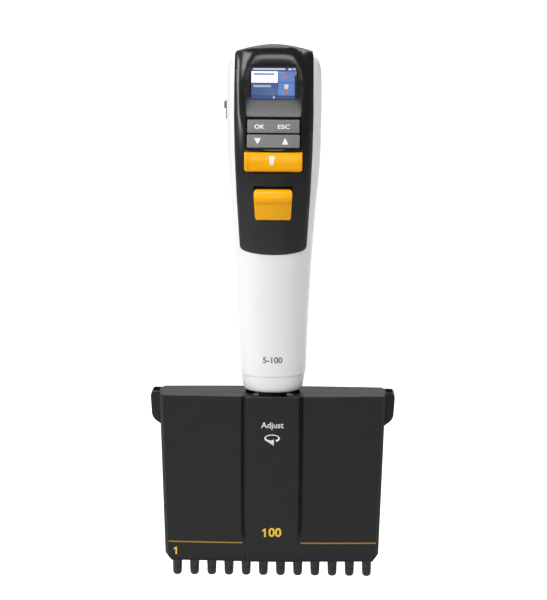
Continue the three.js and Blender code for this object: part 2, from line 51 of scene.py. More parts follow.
def srgb(code):
    """A colour code as the linear values that a shader takes."""
    levels = [int(code[i:i + 2], 16) / 255 for i in (1, 3, 5)]
    return tuple(v / 12.92 if v <= 0.04045 else ((v + 0.055) / 1.055) ** 2.4 for v in levels) + (1.0,)


def add_node(material, kind, settings=None, links=None):
    """Adds a node; a setting is one of its inputs, by name or number, or else one of its own properties."""
    node = material.node_tree.nodes.new(kind)
    for key, value in (settings or {}).items():
        if isinstance(key, int) or key in node.inputs:
            node.inputs[key].default_value = value
        else:
            setattr(node, key, value)
    for key, source in (links or {}).items():
        material.node_tree.links.new(source, node.inputs[key])
    return node


def new_material(name):
    material = bpy.data.materials.new(name)
    material.use_nodes = True
    return material, material.node_tree.nodes["Principled BSDF"]


def deselect():
    bpy.ops.object.select_all(action="DESELECT")


bpy.context.scene.view_settings.view_transform = "Standard"
FLOOR_Z = -260
deselect()
bpy.ops.mesh.primitive_plane_add(size=60, location=(0, 0, FLOOR_Z * MM))
floor = bpy.context.object
floor.name = "studio_floor"
paper, paper_shader = new_material("matt_white_paper_painted_glow")
# Matt white paper with a painted glow: its emission rises behind the object and fades to the sides, painted
# in place of a lamp under the sweep.
place = add_node(paper, "ShaderNodeTexCoord")
parts = add_node(paper, "ShaderNodeSeparateXYZ", links={0: place.outputs["Object"]})
depth_range = {"From Min": 0.1, "From Max": 0.6, "To Min": 0.05, "To Max": 1.1}
behind = add_node(paper, "ShaderNodeMapRange", depth_range, {"Value": parts.outputs["Y"]})
aside = add_node(paper, "ShaderNodeMath", {"operation": "ABSOLUTE"}, {0: parts.outputs["X"]})
reach = add_node(paper, "ShaderNodeMath", {"operation": "MULTIPLY_ADD", 1: 0.25, 2: 0.55},
                 {0: parts.outputs["Y"]})
beyond = add_node(paper, "ShaderNodeMath", {"operation": "SUBTRACT"},
                  {0: aside.outputs[0], 1: reach.outputs[0]})
painted_glow_side_range = {"From Min": 0.0, "From Max": 0.5, "To Min": 1.0, "To Max": 0.25}
painted_glow_sides = add_node(paper, "ShaderNodeMapRange", painted_glow_side_range, {"Value": beyond.outputs[0]})
# The painted glow: the ramp from front to back times the fall-off to the sides.
painted_floor_glow = add_node(paper, "ShaderNodeMath", {"operation": "MULTIPLY"},
                {0: behind.outputs[0], 1: painted_glow_sides.outputs[0]})
paper_shader.inputs["Base Color"].default_value = srgb("#dcdcda")
paper_shader.inputs["Roughness"].default_value = 0.9
paper_shader.inputs["Emission Color"].default_value = (1, 1, 1, 1)
# The painted glow drives the floor's emission strength.
paper.node_tree.links.new(painted_floor_glow.outputs[0], paper_shader.inputs["Emission Strength"])
floor.data.materials.append(paper)

world = bpy.data.worlds.new("studio_air")
bpy.context.scene.world = world
world.use_nodes = True
air = world.node_tree.nodes["Background"]
air.inputs["Color"].default_value = (0.9, 0.95, 1, 1)
air.inputs["Strength"].default_value = 0.2


def lamp(name, place, aim, size, power):
    """A rectangular softbox; places and sizes in metres, power in watts."""
    data = bpy.data.lights.new(name, "AREA")
    data.shape = "RECTANGLE"
    data.size, data.size_y = size
    data.energy = power
    item = bpy.data.objects.new(name, data)
    bpy.context.collection.objects.link(item)
    item.location = place
    item.rotation_euler = (Vector(aim) - Vector(place)).to_track_quat("-Z", "Y").to_euler()


AIM = (0, 0, 0.14)
lamp("softbox_left", (-1.25, -1.12, 1.05), AIM, (1.0, 0.8), 17)
lamp("softbox_right", (1.1, -0.4, 1.55), AIM, (0.6, 0.9), 11)
lamp("softbox_left_side", (-1.5, 0.15, 0.95), AIM, (1.3, 0.7), 1)
lamp("softbox_cheek", (-1.6, -0.2, 0.4), AIM, (0.3, 0.66), 5)
lamp("softbox_front", (0.0, -1.7, 0.72), (0, 0, 0.22), (0.6, 0.34), 4)
lamp("softbox_top", (-0.3, -0.2, 1.8), AIM, (1.2, 0.7), 11)
lamp("rim_back", (0.0, 1.6, 0.75), AIM, (1.8, 0.3), 3.4)

# The camera stands 1.1 m away, 10 degrees above the object and one degree to its right.
CAMERA_PLACE = (19.0, -1082.63, 328.47)
CAMERA_AIM = (0.1, 0, 136.95)
CAMERA_ROLL = 0.3
camera_data = bpy.data.cameras.new("camera")
camera_data.sensor_width = 36
camera_data.lens = 128.76
camera = bpy.data.objects.new("camera", camera_data)
bpy.context.collection.objects.link(camera)
camera.location = mm(*CAMERA_PLACE)
level_view = (Vector(mm(*CAMERA_AIM)) - camera.location).to_track_quat("-Z", "Y")
camera.rotation_euler = (level_view @ Quaternion((0, 0, 1), math.radians(CAMERA_ROLL))).to_euler()
bpy.context.scene.camera = camera


# Handle shells: two glossy white ABS mouldings, 2 mm thick, closed round the works with screws from behind.
# The outer form rises ring by ring from the neck hole, and the control face takes a window out of its front.
def settle(name):
    """Names a new primitive and puts its place in its mesh."""
    bpy.context.object.name = name
    bpy.ops.object.transform_apply(location=True, rotation=True, scale=True)
    return bpy.context.object


def edit():
    bpy.ops.object.mode_set(mode="EDIT")


def leave():
    bpy.ops.object.mode_set(mode="OBJECT")


def pick(kind, test):
    """Selects vertices, edges or faces of the piece in hand by their middle, in mm, and their normal."""
    bpy.context.tool_settings.mesh_select_mode = (kind == "VERT", kind == "EDGE", kind == "FACE")
    work = bmesh.from_edit_mesh(bpy.context.object.data)
    items = {"VERT": work.verts, "EDGE": work.edges, "FACE": work.faces}[kind]
    for group in (work.faces, work.edges, work.verts):
        for item in group:
            item.select_set(False)
    found = 0
    for item in items:
        if kind == "VERT":
            middle, normal = item.co, item.normal
        elif kind == "EDGE":
            middle = (item.verts[0].co + item.verts[1].co) / 2
            normal = (item.verts[1].co - item.verts[0].co).normalized()
        else:
            middle, normal = item.calc_center_median(), item.normal
        if test(middle / MM, normal):
            item.select_set(True)
            found += 1
    work.select_flush(True)
    bmesh.update_edit_mesh(bpy.context.object.data)
    return found


def pick_last(count, test=None):
    """Selects the vertices made last, such as those of a ring that was just extruded."""
    bpy.context.tool_settings.mesh_select_mode = (True, False, False)
    work = bmesh.from_edit_mesh(bpy.context.object.data)
    work.verts.ensure_lookup_table()
    for group in (work.faces, work.edges, work.verts):
        for item in group:
            item.select_set(False)
    for vertex in work.verts[len(work.verts) - count:]:
        if test is None or test(vertex.co / MM):
            vertex.select_set(True)
    work.select_flush(True)
    bmesh.update_edit_mesh(bpy.context.object.data)


def move(x, y, z):
    bpy.ops.transform.translate(value=mm(x, y, z))


def resize(x, y, z, about=(0, 0, 0)):
    bpy.ops.transform.resize(value=(x, y, z), center_override=mm(*about))


def grow(x, y, z):
    bpy.ops.mesh.extrude_region_move(TRANSFORM_OT_translate={"value": mm(x, y, z)})


def pick_all():
    bpy.ops.mesh.select_all(action="SELECT")


def face_outwards():
    pick_all()
    bpy.ops.mesh.normals_make_consistent(inside=False)


def slice_at(axis, places):
    """Cuts the piece in hand with planes across an axis, 0 for x and 2 for z, at places in mm."""
    for place in places:
        pick_all()
        bpy.ops.mesh.bisect(plane_co=[place * MM if i == axis else 0 for i in range(3)],
                            plane_no=[1 if i == axis else 0 for i in range(3)])


def take(piece):
    """Makes a piece the one in hand."""
    deselect()
    bpy.context.view_layer.objects.active = piece
    piece.select_set(True)


def use(piece, kind, **settings):
    """Adds a modifier to a piece and applies it."""
    take(piece)
    modifier = piece.modifiers.new(kind.lower(), kind)
    for key, value in settings.items():
        setattr(modifier, key, value)
    bpy.ops.object.modifier_apply(modifier=modifier.name)


def cut(piece, tool, operation="DIFFERENCE"):
    """Cuts a piece with a tool, or joins the two, and uses the tool up."""
    use(piece, "BOOLEAN", object=tool, operation=operation, solver="MANIFOLD")
    bpy.data.objects.remove(tool, do_unlink=True)


def copy_of(piece, name):
    twin = piece.copy()
    twin.data = piece.data.copy()
    twin.name = name
    bpy.context.collection.objects.link(twin)
    return twin


# The share of its smallest measure that a cap is inset by, and how near counts as level with a place, in mm.
CAP_INSET = 0.55
TOUCH = 0.01


def raise_rings(name, rings, sides, squareness=2.0):
    """A body of oval rings, each extruded from the last. A ring is height, half width, front, back."""
    z, half, front, back = rings[0]
    deselect()
    bpy.ops.mesh.primitive_circle_add(vertices=sides, radius=MM, location=mm(0, 0, z))
    body = settle(name)
    for vertex in body.data.vertices:
        for axis in (0, 1):
            unit = vertex.co[axis] / MM
            vertex.co[axis] = math.copysign(abs(unit) ** (2 / squareness), unit) * MM
    edit()
    pick("VERT", lambda c, n: True)
    resize(half, 1, 1)
    pick("VERT", lambda c, n: c.y < 0)
    resize(1, front, 1)
    pick("VERT", lambda c, n: c.y > 0)
    resize(1, back, 1)
    pick("VERT", lambda c, n: True)
    for ring in rings[1:]:
        grow(0, 0, ring[0] - z)
        pick_last(sides)
        resize(ring[1] / half, 1, 1)
        pick_last(sides, lambda c: c.y < 0)
        resize(1, ring[2] / front, 1)
        pick_last(sides, lambda c: c.y > 0)
        resize(1, ring[3] / back, 1)
        pick_last(sides)
        z, half, front, back = ring
    bpy.ops.mesh.edge_face_add()
    bpy.ops.mesh.inset(thickness=min(half, front, back) * CAP_INSET * MM)
    face_outwards()
    leave()
    return body


def finish(piece, material, body, slot, *nodes, angle=35):
    """Shades a piece, gives it its material and says what it rides on and what it stands for. Its slot is not
    used.
    """
    take(piece)
    bpy.ops.object.shade_smooth_by_angle(angle=math.radians(angle))
    piece.data.materials.clear()
    piece.data.materials.append(material)
    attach(piece, body)
    if nodes:
        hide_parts(*nodes)


PLASTIC_IOR = 1.53
CLOUD_SCALE = 60


def moulded(name, pale, deep, rough, grain_mm, grain_depth_mm, specular=0.5):
    """Injection-moulded plastic: a faint cloudiness from the flow of the melt and the grain of the tool."""
    material, shader = new_material(name)
    spot = add_node(material, "ShaderNodeTexCoord").outputs["Object"]
    cloud = add_node(material, "ShaderNodeTexNoise", {"Scale": CLOUD_SCALE, "Detail": 2}, {"Vector": spot})
    tone = add_node(material, "ShaderNodeMix", {"data_type": "RGBA", 6: srgb(deep), 7: srgb(pale)},
                    {0: cloud.outputs["Fac"]})
    gloss = add_node(material, "ShaderNodeMapRange", {"To Min": rough[0], "To Max": rough[1]},
                     {"Value": cloud.outputs["Fac"]})
    grain = add_node(material, "ShaderNodeTexNoise", {"Scale": 1 / (grain_mm * MM), "Detail": 3},
                     {"Vector": spot})
    relief = add_node(material, "ShaderNodeBump", {"Distance": grain_depth_mm * MM, "Strength": 1.0},
                      {"Height": grain.outputs["Fac"]})
    links = material.node_tree.links
    links.new(tone.outputs[2], shader.inputs["Base Color"])
    links.new(gloss.outputs[0], shader.inputs["Roughness"])
    links.new(relief.outputs["Normal"], shader.inputs["Normal"])
    shader.inputs["IOR"].default_value = PLASTIC_IOR
    shader.inputs["Specular IOR Level"].default_value = specular
    return material


# Glossy white ABS out of a polished mould: bright and even, with soft reflections along the flanks.
white_abs = moulded("moulded_white_abs", "#f6f6f4", "#eeeeec", (0.2, 0.3), 1.2, 0.004)

# Rings of the handle: height, half width, depth in front, depth behind. Near the foot is a joint line.
FORM_SIDES, FORM_SQUARENESS = 64, 2.15
HANDLE_RINGS = [
    (90.8, 9.6, 9.6, 9.6), (90.8, 12.8, 11.0, 10.4), (91.0, 14.0, 12.0, 11.6), (91.7, 14.9, 12.7, 12.4),
    (93.8, 15.7, 13.3, 13.0), (97.0, 16.25, 13.75, 13.55), (98.9, 16.45, 13.95, 13.7),
    (99.3, 16.5, 14.0, 13.72), (99.5, 16.85, 14.35, 14.05), (99.9, 16.92, 14.42, 14.1),
    (103, 17.1, 14.7, 14.25), (112, 17.4, 15.3, 14.7), (124, 17.85, 16.2, 15.1), (137, 18.4, 17.2, 15.6),
    (150, 19.1, 18.4, 16.0), (163, 19.9, 19.6, 16.4), (176, 20.8, 20.8, 16.8), (189, 21.95, 22.0, 17.2),
    (201, 23.0, 23.1, 17.6), (210, 23.6, 23.7, 17.85), (222, 23.95, 24.1, 17.95), (236, 24.0, 23.8, 18),
    (247, 23.95, 23.0, 17.95), (252.5, 23.85, 21.6, 17.7), (256.6, 23.35, 19.7, 16.9),
    (259.8, 22.1, 17.8, 15.7), (262.2, 20.0, 15.6, 14.0), (264.2, 16.5, 12.4, 11.6),
    (265.3, 12.5, 9.2, 8.8), (265.7, 8, 6, 5.6),
]
blank = raise_rings("handle_blank", HANDLE_RINGS, FORM_SIDES, FORM_SQUARENESS)
use(blank, "SUBSURF", levels=1, render_levels=1)
use(blank, "SOLIDIFY", thickness=2 * MM, offset=-1)

# The outline of the control face, right half, from the foot of the face to its crown.
FACE_OUTLINE = [
    (0, 163.4), (5, 163.52), (10, 163.95), (13.2, 164.4), (15.1, 164.85), (16.2, 165.5), (16.75, 166.6),
    (18.45, 194), (19.4, 216), (19.7, 234), (19.5, 262.7), (19.35, 263.6), (18.8, 264.2),
    (14.2, 265.5), (9, 266.6), (4.5, 267.25), (0, 267.5),
]
SHEET_Y = -45


def outline_sheet(name, right_half, larger=0.0):
    """A flat sheet facing the user, trimmed along each side of a convex outline."""
    deselect()
    bpy.ops.mesh.primitive_plane_add(size=0.2, location=mm(0, SHEET_Y, 215), rotation=(math.pi / 2, 0, 0))
    sheet = settle(name)
    edit()
    for (x0, z0), (x1, z1) in zip(right_half, right_half[1:]):
        along = Vector((x1 - x0, 0, z1 - z0)).normalized()
        for side in (1, -1):
            out = Vector((along.z * side, 0, -along.x))
            pick("FACE", lambda c, n: True)
            start = Vector((x0 * side, 0, z0)) + out * larger
            bpy.ops.mesh.bisect(plane_co=mm(*start), plane_no=out, clear_outer=True)
    leave()
    return sheet


FACE_GAP = 0.15
CROWN_BACK = 6.2
face_tool = outline_sheet("face_tool", FACE_OUTLINE, larger=FACE_GAP)
take(face_tool)
edit()
pick("FACE", lambda c, n: True)
grow(0, CROWN_BACK - SHEET_Y, 0)
face_outwards()
leave()
cut(blank, face_tool)


def halve(piece, y, keep_front):
    """Cuts a piece along an upright plane and closes the cut."""
    take(piece)
    edit()
    pick_all()
    bpy.ops.mesh.bisect(plane_co=mm(0, y, 0), plane_no=(0, 1, 0), use_fill=True,
                        clear_outer=keep_front, clear_inner=not keep_front)
    leave()


def bar(name, low, high, bevel=0.0, segments=2):
    """A block between two corners, in mm, with its edges rounded."""
    deselect()
    bpy.ops.mesh.primitive_cube_add(size=1)
    block = settle(name)
    edit()
    pick("VERT", lambda c, n: True)
    resize(*[(b - a) for a, b in zip(low, high)])
    resize(MM, MM, MM)
    move(*[(a + b) / 2 for a, b in zip(low, high)])
    leave()
    if bevel:
        use(block, "BEVEL", width=bevel * MM, segments=segments)
    return block


def round_bar(name, radius, start, end, sides=24):
    """A round bar between two points that differ along one axis, in mm."""
    a, b = Vector(start), Vector(end)
    deselect()
    bpy.ops.mesh.primitive_cylinder_add(
        vertices=sides, radius=radius * MM, depth=(b - a).length * MM, location=mm(*((a + b) / 2)),
        rotation=(b - a).to_track_quat("Z", "Y").to_euler())
    return settle(name)


SEAM_Y = -3
SEAM_GAP = 0.1
front_shell = copy_of(blank, "front_shell_moulding")
halve(front_shell, SEAM_Y - SEAM_GAP, True)
rear_shell = blank
rear_shell.name = "rear_shell_moulding"
halve(rear_shell, SEAM_Y + SEAM_GAP, False)
SCREW_X, SCREW_Z, SCREW_HOLE = 10, 158, 2.6
for side in (-1, 1):
    x = side * SCREW_X
    cut(rear_shell, round_bar("screw_hole", SCREW_HOLE, (x, 8, SCREW_Z), (x, 20, SCREW_Z)))
cut(rear_shell, bar("cover_pocket", (-30, -0.1, 229.1), (-21.5, 7.1, 239.5), 0.8))
finish(front_shell, white_abs, "handle", "shell_white", "front_shell")
finish(rear_shell, white_abs, "handle", "shell_white", "rear_shell")

# Control face: one black moulding, polished, clipped over the front of the shells and curling over the top.
# A shallow scoop carries the display and the keys, with a rounded cheek down each side of it.
black_gloss = moulded("polished_black_abs", "#19191a", "#151516", (0.15, 0.21), 1.5, 0.004, specular=0.45)

# Rings of the face's outer form, a little proud of the handle's.
FACE_FOOT = 156
FACE_RINGS = [
    (FACE_FOOT, 19.85, 19.55, 16), (163, 20.4, 20.15, 16), (176, 21.3, 21.35, 16), (189, 22.45, 22.5, 16),
    (201, 23.5, 23.6, 16), (210, 24.1, 24.2, 16), (222, 24.5, 24.6, 16), (236, 24.6, 24.3, 16),
    (247, 24.6, 23.4, 15), (253, 24.6, 22.3, 14), (258, 24.5, 20.6, 12), (263, 24.3, 18.8, 10),
    (266, 24.0, 17.2, 8), (268, 23.4, 15.4, 6), (269.6, 21, 12, 5), (270.4, 15, 7, 4),
]
face_form = raise_rings("face_form", FACE_RINGS, FORM_SIDES, FORM_SQUARENESS)
# Above the display the front is flat, level with the floor of the scoop: height and depth of the flat.
FLAT_FRONT = {253: 18.5, 258: 17.7, 263: 17.15, 266: 16.3, 268: 14.8}
for vertex in face_form.data.vertices:
    flat = FLAT_FRONT.get(round(vertex.co.z / MM))
    if flat:
        vertex.co.y = max(vertex.co.y, -flat * MM)
take(face_form)
edit()
pick("EDGE", lambda c, n: abs(c.z - FACE_FOOT) < TOUCH)
bpy.ops.mesh.edge_face_add()
leave()
use(face_form, "SUBSURF", levels=1, render_levels=1)

# Scoop rows: height, floor of the scoop, half width of the floor.
SCOOP_ROWS = [
    (212.5, -25.9, 14.6), (216.6, -24.4, 15.0), (220, -23.2, 15.2), (226, -21.5, 15.6), (234, -19.8, 15.2),
    (242, -18.6, 14.6), (250, -18.0, 13.9), (256, -17.6, 13.3), (260, -17.4, 12.9), (264, -17.1, 12.6),
    (267, -16.9, 12.4), (271, -16.6, 12.2),
]
SCOOP_DISH = 0.5
DISH_TOP, DISH_FADE = 260, 12
WALL_SLOPE = 1.5
TOOL_FRONT, TOOL_BACK = -45, -20
scoop_tool = bar("scoop_tool", (-1, TOOL_FRONT, SCOOP_ROWS[0][0]), (1, TOOL_BACK, SCOOP_ROWS[-1][0]))
take(scoop_tool)
edit()
slice_at(0, (-0.7, -0.35, 0, 0.35, 0.7))
slice_at(2, [height for height, floor_y, half in SCOOP_ROWS[1:-1]])
for height, floor_y, half in SCOOP_ROWS:
    pick("VERT", lambda c, n: abs(c.z - height) < TOUCH and c.y > -30)
    move(0, floor_y - TOOL_BACK, 0)
    dish = SCOOP_DISH * min(1, max(0, (DISH_TOP - height) / DISH_FADE))
    for across in (0, 0.35, 0.7):
        pick("VERT", lambda c, n: abs(c.z - height) < TOUCH and c.y > -30 and abs(abs(c.x) - across) < TOUCH)
        move(0, dish * (1 - across ** 2), 0)
    pick("VERT", lambda c, n: abs(c.z - height) < TOUCH and c.y > -30)
    resize(half, 1, 1)
    pick("VERT", lambda c, n: abs(c.z - height) < TOUCH and c.y < -44)
    resize(half + WALL_SLOPE * (floor_y - TOOL_FRONT), 1, 1)
face_outwards()
leave()
cut(face_form, scoop_tool)
use(face_form, "REMESH", mode="VOXEL", voxel_size=0.7 * MM)
use(face_form, "SMOOTH", factor=0.6, iterations=48)

# Openings in the face: half width, bottom, top.
WINDOW = (11.2, 240.9, 256.9)
KEY_OPENING = (13.8, 217.2, 232.1)
BAR_OPENING = (14.9, 205.2, 215.7)
LEVER_OPENING = (9.8, 195.2, 198.3)
LEVER_SLOT = (7, 181.3, 195.2)
OPENINGS = (WINDOW, KEY_OPENING, BAR_OPENING, LEVER_OPENING, LEVER_SLOT)
face_panel = outline_sheet("face_moulding", FACE_OUTLINE)
take(face_panel)
edit()
GRID = 1.5
side_cuts = {round(side * opening[0], 3) for opening in OPENINGS for side in (-1, 1)}
level_cuts = {z for opening in OPENINGS for z in opening[1:]}
slice_at(0, sorted(side_cuts | {i * GRID for i in range(-13, 14)}))
slice_at(2, sorted(level_cuts | {164 + i * GRID for i in range(69)}))
for half, low, high in OPENINGS:
    pick("FACE", lambda c, n: abs(c.x) < half and low < c.z < high)
    bpy.ops.mesh.delete(type="FACE")
pick_all()
bpy.ops.mesh.remove_doubles(threshold=0.05 * MM)
leave()
use(face_panel, "SHRINKWRAP", target=face_form, wrap_method="PROJECT", use_project_y=True,
    use_positive_direction=True, use_negative_direction=False)
# The crown goes on over the top of the handle and falls a little towards the back. It is drawn out row by
# row, each with a depth and a fall, from the top edge of the sheet between its two corners.
CROWN = [(-7, 0.05), (-3, 0.0), (0, -0.1), (3, -0.3), (5.8, -0.6)]
CORNER_X, CORNER_Z = 19.2, 262.4
take(face_panel)
edit()
bpy.context.tool_settings.mesh_select_mode = (False, True, False)
bpy.ops.mesh.select_non_manifold(extend=False)
work = bmesh.from_edit_mesh(face_panel.data)
for edge in work.edges:
    middle = (edge.verts[0].co + edge.verts[1].co) / 2 / MM
    if not (edge.is_boundary and middle.z > CORNER_Z and abs(middle.x) < CORNER_X):
        edge.select_set(False)
work.select_flush_mode()
bmesh.update_edit_mesh(face_panel.data)
grow(0, 0.8, 0.02)
for y, drop in CROWN:
    grow(0, 0, drop)
    resize(1, 0, 1, (0, y, 0))
leave()
use(face_panel, "SOLIDIFY", thickness=1.9 * MM, offset=-1, use_even_offset=False)
use(face_panel, "BEVEL", width=0.35 * MM, segments=2, limit_method="ANGLE", angle_limit=math.radians(50))
finish(face_panel, black_gloss, "handle", "panel_black", "face_panel", angle=50)
bpy.data.objects.remove(face_form, do_unlink=True)


# Display: a backlit colour panel behind a flush lens of clear acrylic, let into the scoop. The picture on it
# is made of plain blocks and bars, with a star and a tip as its only signs.
def sketch_prism(name, points, axis, low, high, bevel=0.0, segments=2, angle=25):
    """A closed ring of points drawn out along x (axis 0) or y (axis 1), with its edges rounded."""
    deselect()
    bpy.ops.mesh.primitive_circle_add(vertices=len(points), radius=MM, fill_type="NGON")
    body = settle(name)
    for vertex, (across, height) in zip(body.data.vertices, points):
        vertex.co = mm(low, across, height) if axis == 0 else mm(across, low, height)
    edit()
    pick_all()
    grow(*((high - low, 0, 0) if axis == 0 else (0, high - low, 0)))
    face_outwards()
    leave()
    if bevel:
        use(body, "BEVEL", width=bevel * MM, segments=segments, limit_method="ANGLE",
            angle_limit=math.radians(angle))
    return body


def join(piece, *others):
    take(piece)
    for other in others:
        other.select_set(True)
    bpy.ops.object.join()
    return piece


SCREEN_LIGHT = 0.95
CELL_MM = 0.14


def lit_screen(name, colour, strength):
    """A backlit screen area: its light comes through a fine grid of picture cells."""
    material, shader = new_material(name)
    spot = add_node(material, "ShaderNodeTexCoord").outputs["Object"]
    lit, gap = (1, 1, 1, 1), (0.86, 0.86, 0.86, 1)
    cells = add_node(material, "ShaderNodeTexChecker", {"Scale": 1 / (CELL_MM * MM), 1: lit, 2: gap},
                     {"Vector": spot})
    tint = add_node(material, "ShaderNodeMix",
                    {"data_type": "RGBA", "blend_type": "MULTIPLY", 0: 1.0, 6: srgb(colour)},
                    {7: cells.outputs["Color"]})
    material.node_tree.links.new(tint.outputs[2], shader.inputs["Emission Color"])
    shader.inputs["Base Color"].default_value = (0.01, 0.01, 0.012, 1)
    shader.inputs["Roughness"].default_value = 0.35
    shader.inputs["Emission Strength"].default_value = strength
    return material


lens = sketch_prism("display_lens", [(-18.5, 241.1), (-17.3, 256.7), (-16.2, 256.7), (-17.4, 241.1)],
                    0, -10.95, 10.95, 0.15)
acrylic, shader = new_material("clear_cast_acrylic")
# Clear acrylic with a hard coat: sharp reflections over the picture, with the faint waviness of the sheet.
spot = add_node(acrylic, "ShaderNodeTexCoord").outputs["Object"]
wave = add_node(acrylic, "ShaderNodeTexNoise", {"Scale": 90}, {"Vector": spot})
sway = add_node(acrylic, "ShaderNodeBump", {"Distance": 0.0004 * MM}, {"Height": wave.outputs["Fac"]})
acrylic.node_tree.links.new(sway.outputs["Normal"], shader.inputs["Normal"])
shader.inputs["Base Color"].default_value = srgb("#0c0d10")
shader.inputs["Alpha"].default_value = 0.13
shader.inputs["Roughness"].default_value = 0.05
shader.inputs["IOR"].default_value = 1.49
finish(lens, acrylic, "handle", "window_glass", "display_window")

SCREEN_FOOT, SCREEN_TOP = (-17.2, 240.9), (-15.95, 256.85)
screen_block = join(bar("display_block", (-12.6, -15.1, 237.4), (12.6, -12, 256), 0.2),
                    sketch_prism("display_front", [SCREEN_FOOT, SCREEN_TOP, (-15.1, 256.85), (-15.1, 240.9)],
                                 0, -11.2, 11.2))
finish(screen_block, lit_screen("screen_back_dark_blue", "#24365c", SCREEN_LIGHT), "handle", "display_screen",
       "display_module")
SCREEN_LEAN = math.atan2(SCREEN_TOP[0] - SCREEN_FOOT[0], SCREEN_TOP[1] - SCREEN_FOOT[1])
PICTURE_Y = -17.27
WHITE_TILE = "#fbfcff"
WHITE_GLOW, COLOUR_GLOW = 1.9, 1.15
# Each block of the picture: name, left, right, bottom, top, colour.
PICTURE = [
    ("header", -11.1, 11.1, 255.1, 256.7, "#3d5c9a"),
    ("header_words", -10.2, 5.6, 255.6, 256.4, "#e9eefa"),
    ("header_cell", 7.2, 8.9, 255.5, 256.4, "#e9eefa"),
    ("header_mark", 9.5, 10.7, 255.5, 256.5, "#c8d3ee"),
    ("tile_upper_left", -11.1, 1.9, 249.3, 254.9, WHITE_TILE),
    ("tile_upper_left_words", -9.9, 0.2, 253.0, 254.0, "#8fa9dc"),
    ("tile_lower_left", -11.1, 1.9, 243.0, 249.1, "#4b66a0"),
    ("tile_lower_left_words", -10.1, -1.4, 247.1, 248.1, "#c3d0ee"),
    ("tile_upper_right", 2.1, 10.3, 249.3, 254.9, "#6b93dc"),
    ("tile_lower_right", 2.1, 10.3, 243.0, 249.1, "#6b93dc"),
    ("footer", -11.1, 10.3, 241.1, 242.8, "#39558f"),
    ("footer_mark", -0.4, 0.5, 241.5, 242.5, "#dfe6f7"),
    ("scroll_track", 10.45, 11.1, 241.1, 254.9, "#15171c"),
    ("scroll_thumb", 10.5, 11.1, 253.0, 254.9, "#e8822a"),
]
# These lie a little in front of the block behind them.
RAISED = ("header_words", "header_cell", "header_mark", "tile_upper_left_words", "tile_lower_left_words",
          "footer_mark", "scroll_thumb")


def lean_back(depth):
    """Tilts what is picked in the piece in hand to the slope of the screen."""
    bpy.ops.transform.rotate(value=SCREEN_LEAN, orient_axis="X", center_override=mm(0, depth, SCREEN_FOOT[1]))


for label, left, right, low, high, colour in PICTURE:
    depth = PICTURE_Y - (0.02 if label in RAISED else 0.0)
    deselect()
    bpy.ops.mesh.primitive_plane_add(size=MM, rotation=(math.pi / 2, 0, 0))
    block = settle("picture_" + label)
    edit()
    pick("VERT", lambda c, n: True)
    resize(right - left, 1, high - low)
    move((left + right) / 2, depth, (low + high) / 2)
    lean_back(depth)
    leave()
    glow_level = SCREEN_LIGHT * (WHITE_GLOW if colour == WHITE_TILE else COLOUR_GLOW)
    finish(block, lit_screen("screen_" + label, colour, glow_level), "handle", "display_screen")


def star(outer, inner, x, z):
    """The outline of a five-pointed star."""
    ring = []
    for step in range(10):
        radius = outer if step % 2 == 0 else inner
        angle = math.pi / 2 + step * math.pi / 5
        ring.append((x + radius * math.cos(angle), z + radius * math.sin(angle)))
    return ring


PICTURE_SIGNS = [
    ("sign_star", star(1.35, 0.65, 6.2, 252.4), "#f5862a"),
    ("sign_tip_body", [(5.0, 248.5), (7.4, 248.5), (7.0, 246.2), (5.4, 246.2)], "#ffffff"),
    ("sign_tip_fill", [(5.4, 246.2), (7.0, 246.2), (6.6, 243.7), (5.8, 243.7)], "#f5862a"),
]
for label, ring, colour in PICTURE_SIGNS:
    sign = sketch_prism("picture_" + label, ring, 1, PICTURE_Y - 0.03, PICTURE_Y)
    take(sign)
    edit()
    pick_all()
    lean_back(PICTURE_Y)
    leave()
    finish(sign, lit_screen("screen_" + label, colour, SCREEN_LIGHT), "handle", "display_screen")

# Rocker keys: two satin grey mouldings, one above the other, each tipping about its middle, with their
# legends pad-printed in white.
satin_grey = moulded("satin_grey_abs", "#7d7d7d", "#747474", (0.42, 0.52), 0.35, 0.012)


INK_ROUGHNESS = 0.5


def ink(name, colour):
    """Pad-printed ink: a thin even film, a little mottled where the pad has left it."""
    material, shader = new_material(name)
    spot = add_node(material, "ShaderNodeTexCoord").outputs["Object"]
    mottle = add_node(material, "ShaderNodeTexNoise", {"Scale": 1 / (0.5 * MM)}, {"Vector": spot})
    darker = tuple(v * 0.9 for v in srgb(colour)[:3]) + (1,)
    tone = add_node(material, "ShaderNodeMix", {"data_type": "RGBA", 6: darker, 7: srgb(colour)},
                    {0: mottle.outputs["Fac"]})
    material.node_tree.links.new(tone.outputs[2], shader.inputs["Base Color"])
    shader.inputs["Roughness"].default_value = INK_ROUGHNESS
    return material


white_ink = ink("white_pad_print_ink", "#f7f7f5")
grey_ink = ink("grey_pad_print_ink", "#6c6c6e")
orange_ink = ink("orange_pad_print_ink", "#ffce38")
gold_ink = ink("dull_gold_pad_print_ink", "#a87c30")
PRINT_FILM = 0.05
PRINT_Y = -60
CAPITAL_SHARE = 0.69


def lay_on(piece, ground):
    """Lays a flat print that stands in front of a surface down on it."""
    use(piece, "SHRINKWRAP", target=ground, wrap_method="PROJECT", use_project_y=True, offset=PRINT_FILM * MM,
        use_positive_direction=True, use_negative_direction=False, wrap_mode="OUTSIDE_SURFACE")


